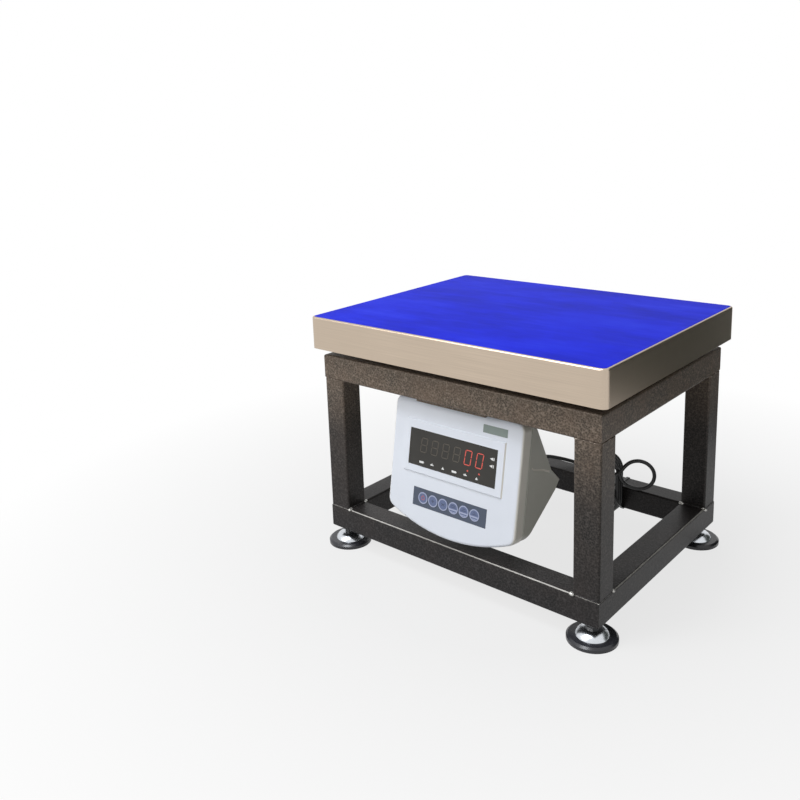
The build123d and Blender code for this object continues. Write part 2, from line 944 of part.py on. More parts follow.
with BuildPart() as plug_body:
    with BuildSketch(Plane.XY.offset(plug_bottom)):
        with Locations((plug_x, plug_y)):
            RectangleRounded(plug_width, plug_thick, plug_corner)
    extrude(amount=plug_length)
    with BuildSketch(Plane.XY.offset(plug_bottom)):
        with Locations(*pin_places):
            Circle(pin_radius + running_fit)
    extrude(amount=pin_length / 2, mode=Mode.SUBTRACT)
save(plug_body.part, "plug_body")

with BuildPart() as plug_pins:
    with BuildSketch(Plane.XY.offset(plug_bottom - pin_length)):
        with Locations(*pin_places):
            Circle(pin_radius)
    extrude(amount=pin_length * 1.5)
save(plug_pins.part, "plug_pins")
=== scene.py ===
import json
import random
from math import cos, pi, radians, sin, sqrt

import bmesh
import bpy
from mathutils import Matrix, Vector


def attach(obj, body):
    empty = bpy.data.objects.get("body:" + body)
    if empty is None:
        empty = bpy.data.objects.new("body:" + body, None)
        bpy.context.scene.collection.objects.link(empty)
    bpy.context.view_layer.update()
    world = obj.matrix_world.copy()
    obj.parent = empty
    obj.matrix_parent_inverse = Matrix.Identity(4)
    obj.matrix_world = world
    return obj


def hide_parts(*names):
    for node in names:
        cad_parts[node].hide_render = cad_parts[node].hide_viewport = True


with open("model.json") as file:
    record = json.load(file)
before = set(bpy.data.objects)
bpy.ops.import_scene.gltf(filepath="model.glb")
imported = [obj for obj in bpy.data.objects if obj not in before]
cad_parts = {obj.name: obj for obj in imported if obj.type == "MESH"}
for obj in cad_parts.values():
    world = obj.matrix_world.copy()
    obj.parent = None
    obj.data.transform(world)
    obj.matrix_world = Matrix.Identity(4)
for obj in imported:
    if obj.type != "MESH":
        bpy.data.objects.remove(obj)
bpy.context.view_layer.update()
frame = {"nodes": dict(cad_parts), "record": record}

# Places from the CAD, in metres
TUBE = 0.038
FRAME_X = 0.238
FRAME_Y = 0.186
LOW_TOP = 0.066
LEG_TOP = 0.278
FRAME_TOP = 0.316
CORNERS = {
    "front_left": (-0.219, -0.167),
    "front_right": (0.219, -0.167),
    "rear_left": (-0.219, 0.167),
    "rear_right": (0.219, 0.167),
}

# The indicator's face: u across, v down, h out of it
FACE = Vector((0.005, -0.165, 0.278))
LEAN = radians(10)
DOWN = Vector((0, -sin(LEAN), -cos(LEAN)))
OUT = Vector((0, -cos(LEAN), sin(LEAN)))

WINDOW_FACE = 0.001
KEY_FIRST_U = -0.0466
KEY_PITCH = 0.0183
KEY_V = 0.148
KEY_FACE = 0.0007
KEY_RADIUS = 0.0086


def at_face(u, v, h):
    """A point from its place on the indicator's face."""
    return FACE + Vector((u, 0, 0)) + DOWN * v + OUT * h


# Camera, fitted to the photograph

CAMERA_PLACE = (0.7075, -1.0798, 0.6777)
CAMERA_TURN = radians(41.95)
CAMERA_TILT = radians(12.16)
CAMERA_ROLL = radians(-2.16)
CAMERA_SHIFT = (0.0125, -0.125)
SENSOR_WIDTH = 36
FOCAL_PIXELS = 863.2
IMAGE_PIXELS = 800


def camera():
    turn, tilt, roll = CAMERA_TURN, CAMERA_TILT, CAMERA_ROLL
    ahead = Vector((-sin(turn) * cos(tilt), cos(turn) * cos(tilt), -sin(tilt)))
    right = ahead.cross(Vector((0, 0, 1))).normalized()
    up = right.cross(ahead)
    side = right * cos(roll) + up * sin(roll)
    top = up * cos(roll) - right * sin(roll)
    data = bpy.data.cameras.new("camera")
    cam = bpy.data.objects.new("camera", data)
    bpy.context.collection.objects.link(cam)
    cam.matrix_world = Matrix.Translation(CAMERA_PLACE) @ (
        Matrix((side, top, -ahead)).transposed().to_4x4()
    )
    data.sensor_width = SENSOR_WIDTH
    data.lens = FOCAL_PIXELS * SENSOR_WIDTH / IMAGE_PIXELS
    data.shift_x, data.shift_y = CAMERA_SHIFT
    bpy.context.scene.camera = cam


camera()


# Materials


def tree(name):
    """A new material with its node tree and its shader."""
    mat = bpy.data.materials.new(name)
    mat.use_nodes = True
    nodes = mat.node_tree.nodes
    return mat, nodes, mat.node_tree.links, nodes["Principled BSDF"]


def place_node(nodes, links, stretch=(1, 1, 1)):
    """Object coordinates, stretched."""
    where = nodes.new("ShaderNodeTexCoord")
    mapping = nodes.new("ShaderNodeMapping")
    mapping.inputs["Scale"].default_value = stretch
    links.new(where.outputs["Object"], mapping.inputs["Vector"])
    return mapping.outputs["Vector"]


def noise(nodes, links, vector, scale, detail=3, rough=0.5):
    tex = nodes.new("ShaderNodeTexNoise")
    tex.inputs["Scale"].default_value = scale
    tex.inputs["Detail"].default_value = detail
    tex.inputs["Roughness"].default_value = rough
    links.new(vector, tex.inputs["Vector"])
    return tex.outputs["Fac"]


def ramp(nodes, links, fac, stops):
    """A colour ramp with its stops as (place, colour)."""
    node = nodes.new("ShaderNodeValToRGB")
    band = node.color_ramp
    while len(band.elements) < len(stops):
        band.elements.new(0.5)
    for element, (at, colour) in zip(band.elements, stops):
        element.position = at
        element.color = (*colour, 1)
    links.new(fac, node.inputs["Fac"])
    return node.outputs["Color"]


def grey(value):
    return (value, value, value)


def bump(nodes, links, shader, height, strength, distance):
    node = nodes.new("ShaderNodeBump")
    node.inputs["Strength"].default_value = strength
    node.inputs["Distance"].default_value = distance
    links.new(height, node.inputs["Height"])
    links.new(node.outputs["Normal"], shader.inputs["Normal"])


def maths(nodes, links, kind, a, b):
    node = nodes.new("ShaderNodeMath")
    node.operation = kind
    for socket, value in zip(node.inputs, (a, b)):
        if hasattr(value, "is_linked"):
            links.new(value, socket)
        else:
            socket.default_value = value
    return node.outputs["Value"]


def mixed(nodes, links, fac, a, b):
    """Two colours mixed by a factor."""
    node = nodes.new("ShaderNodeMix")
    node.data_type = "RGBA"
    links.new(fac, node.inputs["Factor"])
    for socket, value in ((node.inputs["A"], a), (node.inputs["B"], b)):
        if hasattr(value, "is_linked"):
            links.new(value, socket)
        else:
            socket.default_value = (*value, 1)
    return node.outputs["Result"]


def multiplied(nodes, links, a, b):
    """Two colours multiplied."""
    node = nodes.new("ShaderNodeMix")
    node.data_type = "RGBA"
    node.blend_type = "MULTIPLY"
    node.inputs["Factor"].default_value = 1.0
    links.new(a, node.inputs["A"])
    links.new(b, node.inputs["B"])
    return node.outputs["Result"]


PAINT_DARK = (0.020, 0.018, 0.016)
PAINT_LOW = (0.050, 0.045, 0.040)
PAINT_HIGH = (0.092, 0.080, 0.070)
PAINT_LIGHT = (0.155, 0.137, 0.122)
STAIN = (0.10, 0.075, 0.06)
BARE_STEEL = (0.50, 0.49, 0.47)

# Painted shade and light by height: cool and dark near the floor, warm and pale at the frame's top
PAINTED_LIGHT_BY_HEIGHT = [
    (0.08, (0.34, 0.37, 0.44)),
    (0.60, (0.60, 0.605, 0.63)),
    (0.90, (1.80, 1.66, 1.50)),
]


def rubbed_edge(nodes, links, where, place, worn):
    """How bare the paint is near an edge of a rail."""
    axis, beside, height = worn
    off = maths(nodes, links, "SUBTRACT", place.outputs["Y" if axis == "X" else "X"], beside)
    up = maths(nodes, links, "SUBTRACT", place.outputs["Z"], height)
    squares = maths(
        nodes,
        links,
        "ADD",
        maths(nodes, links, "MULTIPLY", off, off),
        maths(nodes, links, "MULTIPLY", up, up),
    )
    far = maths(nodes, links, "SQRT", squares, 0)
    uneven = maths(nodes, links, "MULTIPLY", noise(nodes, links, where, 60, 4), 0.0011)
    reach = maths(nodes, links, "SUBTRACT", far, uneven)
    scaled = maths(nodes, links, "MULTIPLY", reach, 400)
    return ramp(nodes, links, scaled, [(0.0, grey(0.8)), (0.22, grey(0))])


def hammertone(name, dark=PAINT_DARK, light=PAINT_LIGHT, worn=None):
    """Speckled hammer paint, with painted shade low down and painted light high up. worn is an edge
    that is rubbed bright: (axis, other place, height).
    """
    mat, nodes, links, shader = tree(name)
    where = place_node(nodes, links)
    cells = nodes.new("ShaderNodeTexVoronoi")
    cells.inputs["Scale"].default_value = 420
    links.new(where, cells.inputs["Vector"])
    speck = noise(nodes, links, where, 330, 4, 0.65)
    cloud = noise(nodes, links, where, 22, 3)
    both = maths(nodes, links, "MULTIPLY", speck, cells.outputs["Distance"])
    stops = [(0.06, dark), (0.20, PAINT_LOW), (0.36, PAINT_HIGH), (0.60, light)]
    colour = ramp(nodes, links, both, stops)
    stained = ramp(nodes, links, cloud, [(0.35, grey(0)), (0.7, grey(0.35))])
    tinted = mixed(nodes, links, stained, colour, STAIN)
    place = nodes.new("ShaderNodeSeparateXYZ")
    links.new(where, place.inputs["Vector"])
    # Painted shade and light: the paint is darkened towards the floor and paled towards the top
    share = maths(nodes, links, "MULTIPLY", place.outputs["Z"], 1 / FRAME_TOP)
    tinted = multiplied(nodes, links, tinted, ramp(nodes, links, share, PAINTED_LIGHT_BY_HEIGHT))
    if worn:
        bare = rubbed_edge(nodes, links, where, place, worn)
        tinted = mixed(nodes, links, bare, tinted, BARE_STEEL)
    links.new(tinted, shader.inputs["Base Color"])
    shader.inputs["Roughness"].default_value = 0.42
    shader.inputs["Metallic"].default_value = 0.12
    shader.inputs["Specular IOR Level"].default_value = 0.2
    bump(nodes, links, shader, both, 0.35, 0.0006)
    return mat


def shaded(colour, share):
    """A colour times a share."""
    return tuple(share * c for c in colour)


def brushed(name, colour, along, rough=0.3):
    """Brushed metal, its lines running along X, Y or Z."""
    mat, nodes, links, shader = tree(name)
    stretch = {"X": (6, 500, 500), "Y": (500, 6, 500), "Z": (500, 500, 6)}[along]
    lines = noise(nodes, links, place_node(nodes, links, stretch), 1.4, 4)
    cloud = noise(nodes, links, place_node(nodes, links), 9, 3)
    tone = ramp(nodes, links, lines, [(0.3, shaded(colour, 0.80)), (0.7, colour)])
    soft = mixed(nodes, links, cloud, tone, shaded(colour, 0.82))
    links.new(soft, shader.inputs["Base Color"])
    shader.inputs["Metallic"].default_value = 1.0
    shader.inputs["Roughness"].default_value = rough
    bump(nodes, links, shader, lines, 0.08, 0.0002)
    return mat


def moulded(
    name,
    colour,
    rough=0.4,
    grain=900,
    depth=0.05,
    mottle=0.06,
    metal=0.0,
    shine=0.5,
    flank=None,
):
    """Plastic, rubber or plated metal with a fine grain. flank is a paler colour for faces along X:
    painted light on the sides.
    """
    mat, nodes, links, shader = tree(name)
    where = place_node(nodes, links)
    fine = noise(nodes, links, where, grain, 2)
    cloud = noise(nodes, links, where, 30, 3)
    low = shaded(colour, 1 - mottle)
    tone = ramp(nodes, links, cloud, [(0.3, low), (0.7, colour)])
    # Painted light: faces along X take the paler flank colour, for light falling on the sides
    if flank:
        surface = nodes.new("ShaderNodeNewGeometry")
        facing = nodes.new("ShaderNodeSeparateXYZ")
        links.new(surface.outputs["Normal"], facing.inputs["Vector"])
        sideways = maths(nodes, links, "ABSOLUTE", facing.outputs["X"], 0)
        painted_side_light_share = ramp(nodes, links, sideways, [(0.25, grey(0)), (0.80, grey(1))])
        tone = mixed(nodes, links, painted_side_light_share, tone, flank)
    links.new(tone, shader.inputs["Base Color"])
    shader.inputs["Roughness"].default_value = rough
    shader.inputs["Metallic"].default_value = metal
    shader.inputs["Specular IOR Level"].default_value = shine
    bump(nodes, links, shader, fine, depth, 0.0003)
    return mat


def protective_film():
    """Blue film: glossy, with faint wrinkles and smears."""
    mat, nodes, links, shader = tree("film")
    wide = noise(nodes, links, place_node(nodes, links, (1, 2.2, 1)), 7, 5, 0.6)
    streak = noise(nodes, links, place_node(nodes, links, (3, 22, 1)), 3, 4)
    blues = [
        (0.3, (0.003, 0.010, 0.45)),
        (0.55, (0.005, 0.016, 0.62)),
        (0.8, (0.014, 0.036, 0.70)),
    ]
    tone = ramp(nodes, links, wide, blues)
    smear = ramp(nodes, links, streak, [(0.5, grey(0)), (0.85, grey(0.25))])
    links.new(mixed(nodes, links, smear, tone, (0.035, 0.06, 0.78)), shader.inputs["Base Color"])
    shader.inputs["Roughness"].default_value = 0.36
    shader.inputs["Specular IOR Level"].default_value = 0.009
    bump(nodes, links, shader, wide, 0.12, 0.002)
    return mat


def glow(name, colour, strength):
    """A lit segment, with a slight unevenness."""
    mat, nodes, links, shader = tree(name)
    cloud = noise(nodes, links, place_node(nodes, links), 400, 2)
    tone = ramp(nodes, links, cloud, [(0.3, shaded(colour, 0.8)), (0.7, colour)])
    links.new(tone, shader.inputs["Base Color"])
    links.new(tone, shader.inputs["Emission Color"])
    shader.inputs["Emission Strength"].default_value = strength
    return mat


def circuit_board():
    """Green board with pale traces."""
    mat, nodes, links, shader = tree("board_green")
    cells = nodes.new("ShaderNodeTexVoronoi")
    cells.distance = "MANHATTAN"
    cells.feature = "DISTANCE_TO_EDGE"
    cells.inputs["Scale"].default_value = 160
    links.new(place_node(nodes, links), cells.inputs["Vector"])
    traces = [(0.04, (0.10, 0.30, 0.10)), (0.09, (0.02, 0.12, 0.04))]
    tone = ramp(nodes, links, cells.outputs["Distance"], traces)
    links.new(tone, shader.inputs["Base Color"])
    shader.inputs["Roughness"].default_value = 0.45
    return mat


paint = hammertone("hammertone")
# Stainless steel's own tone, warmed to beige by a painted reflection of warm surroundings in front
stainless = brushed("stainless", (0.64, 0.53, 0.42), "X", 0.30)
zinc = brushed("zinc", (0.55, 0.55, 0.53), "Z", 0.35)
aluminium = brushed("aluminium", (0.75, 0.75, 0.76), "X", 0.32)
chrome = moulded("chrome", (0.68, 0.71, 0.75), 0.25, 300, 0.003, 0.05, metal=1.0)
film = protective_film()
foot_black = moulded("foot_black", (0.028, 0.029, 0.036), 0.24, 700, 0.06, 0.2)
black_steel = moulded("black_steel", (0.03, 0.03, 0.032), 0.35, 500, 0.1, 0.3)
bumper = moulded("bumper_rubber", (0.025, 0.025, 0.025), 0.7, 700, 0.1, 0.2)
# Ivory ABS: its bluish front is painted cool sky light, and its paler warm flank is painted light
abs_white = moulded(
    "abs_white", (0.69, 0.73, 0.805), 0.38, 1500, 0.05, 0.03, flank=(0.88, 0.85, 0.78)
)
# Paler ABS for the ledge's bevels: a painted highlight where the ledge catches light
abs_ledge_painted_highlight = moulded("abs_ledge_painted_highlight", (0.90, 0.87, 0.80), 0.42, 1500, 0.05, 0.03)
# A darker copy of the ivory ABS for the rear shell and its side panels: painted shade
abs_painted_shade = moulded("abs_painted_shade", (0.56, 0.555, 0.50), 0.42, 1500, 0.06, 0.05)
window = moulded("window", (0.030, 0.028, 0.024), 0.16, 500, 0.01, 0.25, shine=0.4)
led_block = moulded("led_block", (0.05, 0.02, 0.02), 0.5)
board = circuit_board()
keypad = moulded("keypad_blue", (0.060, 0.078, 0.118), 0.36, 1200, 0.05, 0.08)
key_face = moulded("key_blue", (0.110, 0.145, 0.270), 0.34, 1200, 0.05, 0.08)
ring_print = moulded("ring_print", (0.36, 0.40, 0.56), 0.4, 1200, 0.03, 0.08)
mark_dark = moulded("mark_dark", (0.055, 0.07, 0.13), 0.4, 1200, 0.03, 0.1)
mark_red = moulded("mark_red", (0.42, 0.13, 0.17), 0.4, 1200, 0.03, 0.1)
mark_white = moulded("mark_white", (0.75, 0.76, 0.76), 0.45, 1200, 0.03, 0.05)
plate = moulded("label", (0.22, 0.27, 0.255), 0.32, 900, 0.03, 0.12)
battery_case = moulded("battery_case", (0.06, 0.06, 0.065), 0.45, 800, 0.08, 0.15)
core_steel = brushed("core_steel", (0.30, 0.27, 0.22), "X", 0.45)
cable = moulded("cable_black", (0.016, 0.016, 0.017), 0.42, 900, 0.08, 0.25)
plug_black = moulded("plug_black", (0.018, 0.018, 0.02), 0.4, 900, 0.08, 0.2)
brass = moulded("brass", (0.72, 0.55, 0.25), 0.2, 300, 0.02, 0.1, metal=1.0)
ghost = moulded("digit_unlit", (0.080, 0.068, 0.051), 0.3, 900, 0.02, 0.2)
lit = glow("digit_lit", (0.58, 0.080, 0.058), 0.32)

by_slot = {
    "stainless": stainless,
    "film": film,
    "hammertone": paint,
    "zinc": zinc,
    "aluminium": aluminium,
    "chrome": chrome,
    "foot_black": foot_black,
    "black_steel": black_steel,
    "bumper_rubber": bumper,
    "abs_white": abs_white,
    "window": window,
    "led_block": led_block,
    "board_green": board,
    "keypad_blue": keypad,
    "key_blue": key_face,
    "label": plate,
    "battery_case": battery_case,
    "core_steel": core_steel,
    "cable_black": cable,
    "plug_black": plug_black,
    "brass": brass,
}



def dress(name, mat):
    """Puts a material on a node of the frame."""
    for place in frame["nodes"][name].material_slots:
        place.material = mat


for part in frame["record"]["subparts"]:
    dress(part["node"], by_slot[part["material_slot"]])
# The rear shell in the darker copy of the ABS, painted shade
dress("rear_shell", abs_painted_shade)

# The middle of the rounded edge lies this far inside the tube's corner
EDGE_IN = 0.0009
worn_rails = {
    "bottom_front_rail": ("X", EDGE_IN - FRAME_Y, LOW_TOP - EDGE_IN),
    "bottom_rear_rail": ("X", FRAME_Y - EDGE_IN, LOW_TOP - EDGE_IN),
    "bottom_left_rail": ("Y", EDGE_IN - FRAME_X, LOW_TOP - EDGE_IN),
    "bottom_right_rail": ("Y", FRAME_X - EDGE_IN, LOW_TOP - EDGE_IN),
}
for name, edge in worn_rails.items():
    dress(name, hammertone(name, worn=edge))


# Meshes


def solid(name, bm, mat, body, smooth=False):
    """A finished piece from a bmesh."""
    mesh = bpy.data.meshes.new(name)
    bmesh.ops.recalc_face_normals(bm, faces=bm.faces)
    bm.to_mesh(mesh)
    bm.free()
    piece = bpy.data.objects.new(name, mesh)
    bpy.context.collection.objects.link(piece)
    mesh.materials.append(mat)
    if smooth:
        mesh.polygons.foreach_set("use_smooth", [True] * len(mesh.polygons))
    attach(piece, body)
    return piece


def join_rings(bm, rings, closed=True):
    """Skins a row of rings of the same count, and the last to the first where it is closed."""
    pairs = zip(rings, rings[1:] + rings[:1]) if closed else zip(rings, rings[1:])
    for a, b in pairs:
        for i in range(len(a)):
            j = (i + 1) % len(a)
            bm.faces.new((a[i], a[j], b[j], b[i]))


def plate_of(bm, outline, low, high):
    """A thin plate on the indicator's face, from an outline of (u, v) points."""
    under = [bm.verts.new(at_face(u, v, low)) for u, v in outline]
    over = [bm.verts.new(at_face(u, v, high)) for u, v in outline]
    bm.faces.new(over)
    bm.faces.new(list(reversed(under)))
    join_rings(bm, [under, over], closed=False)


def ring_of(bm, u, v, inner, outer, low, high, count=40):
    """A flat ring on the indicator's face."""
    rows = []
    for radius, height in ((inner, low), (outer, low), (outer, high), (inner, high)):
        rows.append(
            [
                bm.verts.new(
                    at_face(
                        u + radius * cos(2 * pi * i / count),
                        v + radius * sin(2 * pi * i / count),
                        height,
                    )
                )
                for i in range(count)
            ]
        )
    join_rings(bm, rows)


def box_at(u, v, wide, tall):
    """An outline of a rectangle about a point."""
    return [
        (u - wide / 2, v - tall / 2),
        (u + wide / 2, v - tall / 2),
        (u + wide / 2, v + tall / 2),
        (u - wide / 2, v + tall / 2),
    ]


def bar(start, end, thick):
    """An outline of a segment with pointed ends between two points."""
    (u0, v0), (u1, v1) = start, end
    length = sqrt((u1 - u0) ** 2 + (v1 - v0) ** 2)
    du, dv = (u1 - u0) / length, (v1 - v0) / length
    h = thick / 2
    return [
        (u0, v0),
        (u0 + du * h - dv * h, v0 + dv * h + du * h),
        (u1 - du * h - dv * h, v1 - dv * h + du * h),
        (u1, v1),
        (u1 - du * h + dv * h, v1 - dv * h - du * h),
        (u0 + du * h + dv * h, v0 + dv * h - du * h),
    ]


# Digits behind the window: six figures of seven segments, the last two lit as noughts

DIGIT_U = [-0.052 + 0.0196 * i for i in range(6)]
DIGIT_TOP = 0.061
DIGIT_HEIGHT = 0.0205
DIGIT_WIDTH = 0.0105
DIGIT_LEAN = 0.10
DIGIT_GAP = 0.0004
SEGMENT = 0.0013
PRINT = 0.00008


def segments(u, lit_only):
    """The outlines of a figure's segments: a nought, or all seven."""
    half = DIGIT_WIDTH / 2
    middle = DIGIT_TOP + DIGIT_HEIGHT / 2

    def spot(x, y):
        return (u + x + (middle - y) * DIGIT_LEAN, y)

    left, right = -half, half
    top, low = DIGIT_TOP, DIGIT_TOP + DIGIT_HEIGHT
    gap = DIGIT_GAP
    lines = [
        (spot(left + gap, top), spot(right - gap, top)),
        (spot(left + gap, low), spot(right - gap, low)),
        (spot(left, top + gap), spot(left, middle - gap)),
        (spot(left, middle + gap), spot(left, low - gap)),
        (spot(right, top + gap), spot(right, middle - gap)),
        (spot(right, middle + gap), spot(right, low - gap)),
    ]
    if not lit_only:
        lines.append((spot(left + gap, middle), spot(right - gap, middle)))
    return [bar(a, b, SEGMENT) for a, b in lines]


def printed(name, shapes, mat):
    """Thin print on the window, from outlines."""
    bm = bmesh.new()
    for shape in shapes:
        plate_of(bm, shape, WINDOW_FACE, WINDOW_FACE + PRINT)
    solid(name, bm, mat, "frame")


def foot_mark(i, u, v):
    """The outlines of one of the three small marks below the figures."""
    if i % 3 == 0:
        return [box_at(u, v, 0.0075, 0.0030), box_at(u + 0.0044, v, 0.0009, 0.0014)]
    if i % 3 == 1:
        beak = [(u - 0.0030, v - 0.0009), (u + 0.0012, v - 0.0024), (u + 0.0008, v - 0.0009)]
        return [box_at(u, v, 0.0056, 0.0014), beak]
    return [[(u - 0.0024, v + 0.0016), (u, v - 0.0022), (u + 0.0024, v + 0.0016)]]


def side_mark(u, v):
    """The outlines of an arrow and a block at the right of the figures."""
    arrow = [(u - 0.003, v), (u + 0.002, v - 0.0022), (u + 0.002, v + 0.0022)]
    return [arrow, box_at(u + 0.0036, v, 0.0014, 0.0040)]


LAMP_ASIDE = 0.001
LAMP_V = 0.0895
LAMP_SIDE = 0.0022
FOOT_MARK_ASIDE = 0.0025
FOOT_MARK_V = 0.0965
SIDE_MARK_U = 0.0655
SIDE_MARK_V = (0.0635, 0.0735)

noughts = [shape for u in DIGIT_U[4:] for shape in segments(u, True)]
eights = [shape for u in DIGIT_U[:4] for shape in segments(u, False)]
lamps = [box_at(u + LAMP_ASIDE, LAMP_V, LAMP_SIDE, LAMP_SIDE) for u in DIGIT_U[4:]]
marks = []
for i, u in enumerate(DIGIT_U):
    marks += foot_mark(i, u - FOOT_MARK_ASIDE, FOOT_MARK_V)
for v in SIDE_MARK_V:
    marks += side_mark(SIDE_MARK_U, v)
printed("digits_lit", noughts, lit)
printed("digits_unlit", eights, ghost)
printed("lamps_lit", lamps, lit)
printed("window_marks", marks, mark_white)


# Keys: printed ring, a plain symbol, and on the last three a pale band across the foot


def cap_of(u, low_v, high_v, radius):
    """An outline of the slice of a key's disc between two heights."""
    left, right = [], []
    for k in range(9):
        v = low_v + (high_v - low_v) * k / 8
        half = sqrt(radius**2 - (v - KEY_V) ** 2)
        left.append((u - half, v))
        right.append((u + half, v))
    return right + list(reversed(left))


def key_symbol(i, u, v):
    """The outlines of a key's symbol."""
    if i == 0:
        return [box_at(u, v - 0.0033, 0.0012, 0.0026)]
    if i == 1:
        return [
            box_at(u, v, 0.0052, 0.0012),
            box_at(u, v - 0.0015, 0.0012, 0.0018),
            box_at(u, v + 0.0015, 0.0012, 0.0018),
        ]
    if i == 2:
        return [
            bar((u - 0.0030, v - 0.0020 * side), (u + 0.0030, v + 0.0020 * side), 0.001)
            for side in (-1, 1)
        ]
    wide = (0.0074, 0.0052, 0.0030)[i - 3]
    return [box_at(u, v - 0.0036, wide, 0.0009), box_at(u, v - 0.0012, 0.0074, 0.0009)]


# The pale bands at the foot of the last three keys: from, to, and their radius by the key's
KEY_BANDS = ((0.0014, 0.0034, 0.80), (0.0052, 0.0062, 0.78))
KEY_RING = (0.81, 0.975)
POWER_RING = (0.0022, 0.0032)

for i in range(6):
    key = f"key_{i + 1}"
    u = KEY_FIRST_U + KEY_PITCH * i
    top = KEY_FACE + PRINT
    bm = bmesh.new()
    ring_of(bm, u, KEY_V, KEY_RADIUS * KEY_RING[0], KEY_RADIUS * KEY_RING[1], KEY_FACE, top)
    if i > 2:
        for start, end, share in KEY_BANDS:
            slice_of_key = cap_of(u, KEY_V + start, KEY_V + end, KEY_RADIUS * share)
            plate_of(bm, slice_of_key, KEY_FACE, top)
    solid(f"{key}_ring", bm, ring_print, key)
    bm = bmesh.new()
    if i == 0:
        ring_of(bm, u, KEY_V, *POWER_RING, KEY_FACE, top, 24)
    for shape in key_symbol(i, u, KEY_V):
        plate_of(bm, shape, KEY_FACE, top)
    solid(f"{key}_mark", bm, mark_red if i == 0 else mark_dark, key)


# Raised panel on each side of the rear shell: below a ledge, and up along the rim

SHELL_SIDE = 0.111
PANEL_SUNK = 0.0004
PANEL_RAISE = 0.0014
PANEL_BEVEL = 0.0018
LEDGE_BEVEL = 0.0034
LEDGE = range(2, 7)
panel_outline = [
    (0.0100, 0.0190),
    (0.0125, 0.0285),
    (0.0690, 0.0300),
    (0.0712, 0.0340),
    (0.0728, 0.0430),
    (0.0748, 0.0580),
    (0.0800, 0.0765),
    (0.0966, 0.1010),
    (0.1105, 0.0935),
    (0.1650, 0.0345),
    (0.1650, 0.0190),
]
for name, side in (("right", 1), ("left", -1)):
    bm = bmesh.new()
    rows = []
    count = len(panel_outline)
    for reach, drawn_in in ((SHELL_SIDE - PANEL_SUNK, 0), (SHELL_SIDE + PANEL_RAISE, PANEL_BEVEL)):
        row = []
        for i, (v, d) in enumerate(panel_outline):
            before = Vector((*panel_outline[i - 1], 0))
            after = Vector((*panel_outline[(i + 1) % count], 0))
            here = Vector((v, d, 0))
            first = (here - before).normalized()
            second = (after - here).normalized()
            inner = Vector((first.y + second.y, -first.x - second.x, 0))
            bevel = LEDGE_BEVEL if drawn_in and i in LEDGE else drawn_in
            inner *= bevel / max(0.6, 1 + first.dot(second))
            spot = here + inner
            row.append(bm.verts.new(at_face(side * reach, spot.x, -spot.y)))
        rows.append(row)
    for i in range(count):
        j = (i + 1) % count
        face = bm.faces.new((rows[0][i], rows[0][j], rows[1][j], rows[1][i]))
        # The ledge's bevels take the second slot, the painted highlight
        face.material_index = 1 if i in LEDGE and j in LEDGE else 0
    bm.faces.new(rows[1])
    bm.faces.new(list(reversed(rows[0])))
    panel = solid(f"shell_panel_{name}", bm, abs_painted_shade, "frame")
    panel.data.materials.append(abs_ledge_painted_highlight)


# Weld beads where the legs meet the rings

# The weld beads' paint carries pale speckles that are painted glints
weld_paint_and_glints = hammertone("weld_paint_and_glints", dark=(0.07, 0.066, 0.062), light=(0.75, 0.73, 0.70))
# Pale metal on the weld lumps: a painted glint on the welds
weld_painted_glint = moulded("weld_painted_glint", (0.70, 0.69, 0.66), 0.35, 400, 0.2, 0.35, metal=0.7)
LEG_HALF = TUBE / 2 - 0.0004
LEG_ROUND = ((1, -1), (1, 1), (-1, 1), (-1, -1))
BEAD_STEPS = 30
BEAD_INSET = 0.0024
BEAD_SIDES = 8
BEAD_THIN = 0.0008
BEAD_THICK = 0.0019
LUMPS = 3


def outward(value):
    return 1 if value > 0 else -1


def weld_loop(name, x, y, z):
    """A rippled bead round a leg, in the corner that it makes with a rail."""
    rng = random.Random(name)
    bm = bmesh.new()
    middle = Vector((x, y, z))
    round_leg = [Vector((a * LEG_HALF, b * LEG_HALF, 0)) for a, b in LEG_ROUND]
    path = []
    for start, end in zip(round_leg, round_leg[1:] + round_leg[:1]):
        inset = (end - start).normalized() * BEAD_INSET
        for k in range(BEAD_STEPS):
            path.append((start + inset).lerp(end - inset, k / (BEAD_STEPS - 1)))
    rings = []
    for i, p in enumerate(path):
        ahead = (path[(i + 1) % len(path)] - path[i - 1]).normalized()
        side = Vector((ahead.y, -ahead.x, 0))
        outside = max(p.x * outward(x), p.y * outward(y)) > LEG_HALF - 0.0005
        ripple = 1 + 0.30 * sin(i * 1.9) + 0.25 * (rng.random() - 0.5)
        size = (BEAD_THIN if outside else BEAD_THICK) * ripple
        ring = []
        for k in range(BEAD_SIDES):
            a = 2 * pi * k / BEAD_SIDES
            rise = Vector((0, 0, size * sin(a)))
            ring.append(bm.verts.new(middle + p + side * (size * cos(a)) + rise))
        rings.append(ring)
    join_rings(bm, rings)
    solid(name, bm, weld_paint_and_glints, "frame", smooth=True)


def weld_spots(name, x, y, z):
    """Lumps of weld at the three corners of a leg that aren't on the frame's own corner, in pale
    metal: a painted glint.
    """
    rng = random.Random(name)
    bm = bmesh.new()
    for a, b in ((-1, 1), (1, -1), (-1, -1)):
        corner = Vector((a * LEG_HALF * outward(x), b * LEG_HALF * outward(y), 0))
        for _ in range(LUMPS):
            lump = bmesh.ops.create_icosphere(bm, subdivisions=2, radius=1)["verts"]
            size = 0.0020 + 0.0015 * rng.random()
            shift = Vector(((rng.random() - 0.5) * 0.006, (rng.random() - 0.5) * 0.006, 0))
            for vert in lump:
                vert.co *= size * (0.85 + 0.3 * rng.random())
                vert.co.z *= 0.75
                vert.co += Vector((x, y, z)) + corner + shift
    solid(name, bm, weld_painted_glint, "frame", smooth=True)


